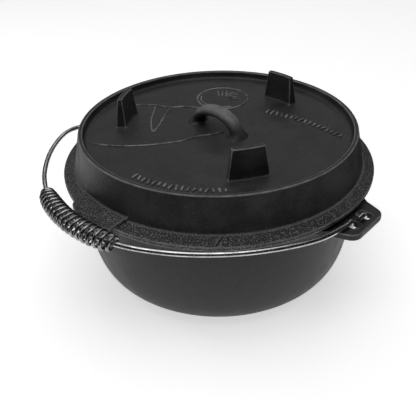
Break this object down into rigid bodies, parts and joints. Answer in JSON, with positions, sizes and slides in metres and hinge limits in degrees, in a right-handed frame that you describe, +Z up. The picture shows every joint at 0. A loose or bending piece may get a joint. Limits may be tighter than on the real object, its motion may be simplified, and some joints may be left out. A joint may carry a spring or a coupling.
{
  "type": "dutch oven",
  "caption": "Round cast iron dutch oven with a flanged, flat-topped lid that has feet and a lifting loop, two ears, and a swinging wire bail with a coil grip.",
  "frame": {"origin": "centre of the pot's flat base, on the surface that it stands on", "axes": "+Z up; X runs through the two ears, along the bail's hinge axis; the folded bail lies towards -Y"},
  "size_m": [0.3865, 0.375, 0.1913],
  "materials": {
    "pot_iron": "seasoned, satin, fine sand-cast grain",
    "lid_iron": "seasoned, satin, fine sand-cast grain with lighter edges",
    "bail_steel": "bright drawn wire",
    "grip_steel": "bright spring wire"
  },
  "bodies": {
    "pot": {"pot": "pot_iron"},
    "lid": {"lid": "lid_iron"},
    "bail": {"bail_wire": "bail_steel", "coil_grip": "grip_steel"}
  },
  "joints": [
    {"name": "bail_swing", "type": "hinge", "parent": "pot", "child": "bail", "pos_m": [0, 0, 0.1124], "axis": [-1, 0, 0], "range_deg": [0, 120]},
    {"name": "lid_lift", "type": "slide", "parent": "pot", "child": "lid", "axis": [0, 0, 1], "range_m": [0, 0.21]}
  ]
}
